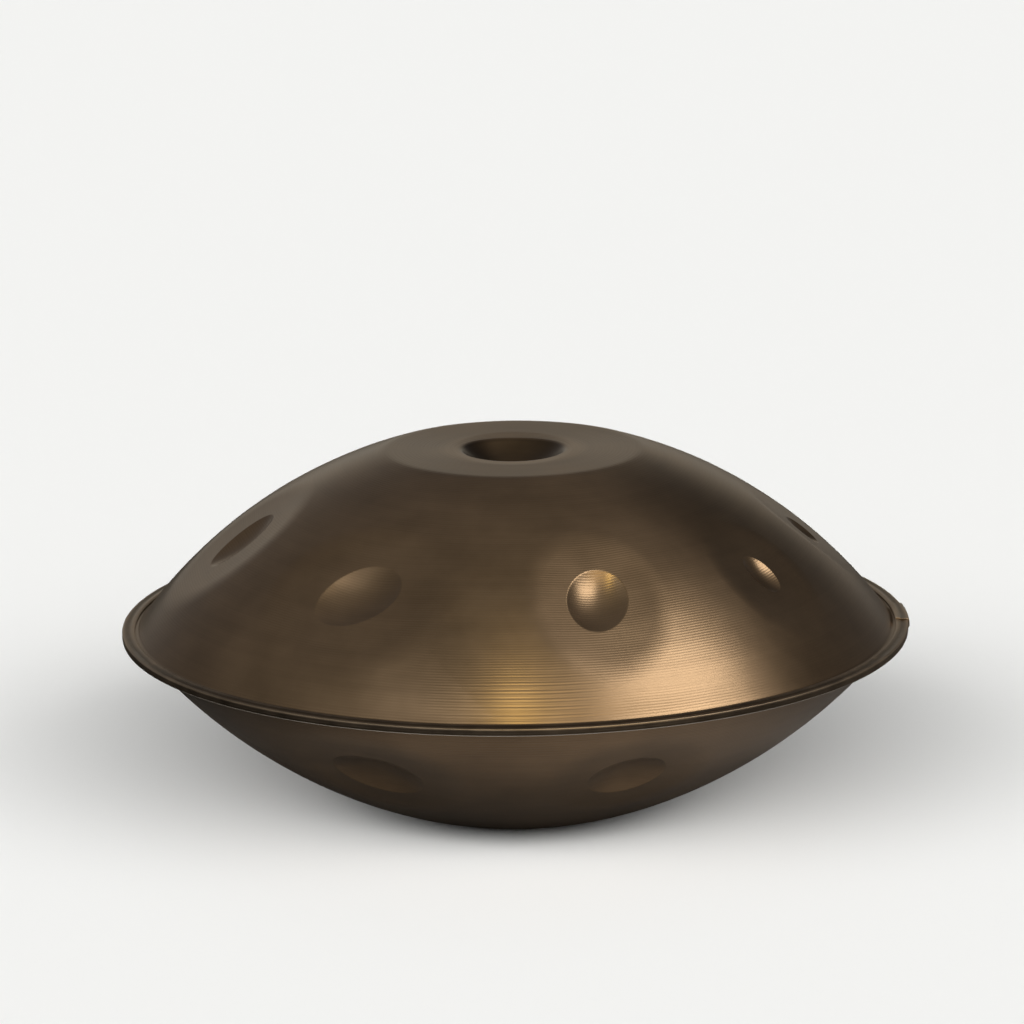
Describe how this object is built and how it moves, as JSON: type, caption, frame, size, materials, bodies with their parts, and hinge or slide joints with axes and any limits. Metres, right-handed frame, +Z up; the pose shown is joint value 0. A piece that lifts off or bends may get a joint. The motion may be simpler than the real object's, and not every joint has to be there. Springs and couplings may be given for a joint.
{
  "type": "handpan",
  "caption": "Lens-shaped steel handpan: dimpled playing shell bonded at a trimmed flange to a ported lower shell, dark bronze brushed finish.",
  "frame": {"origin": "centre of the bounding box on the plane the instrument stands on, under the middle of the port", "axes": "+Z up from the port side through the ding, -Y towards the front of the instrument, +X to the right, where the joint of the rim trim is"},
  "size_m": [0.531, 0.53, 0.2446],
  "materials": {
    "shell_steel": "dark bronze heat-coloured steel, brushed round the axis",
    "trim_metal": "dark bronze folded trim, lightly worn",
    "sleeve_metal": "dark bronze, edges rubbed bright",
    "cured_adhesive": "cured dark adhesive"
  },
  "bodies": {
    "root": {"top_shell": "shell_steel", "bottom_shell": "shell_steel", "flange_adhesive": "cured_adhesive", "trim_adhesive": "cured_adhesive", "rim_trim": "trim_metal", "trim_joint_sleeve": "sleeve_metal"}
  },
  "joints": []
}
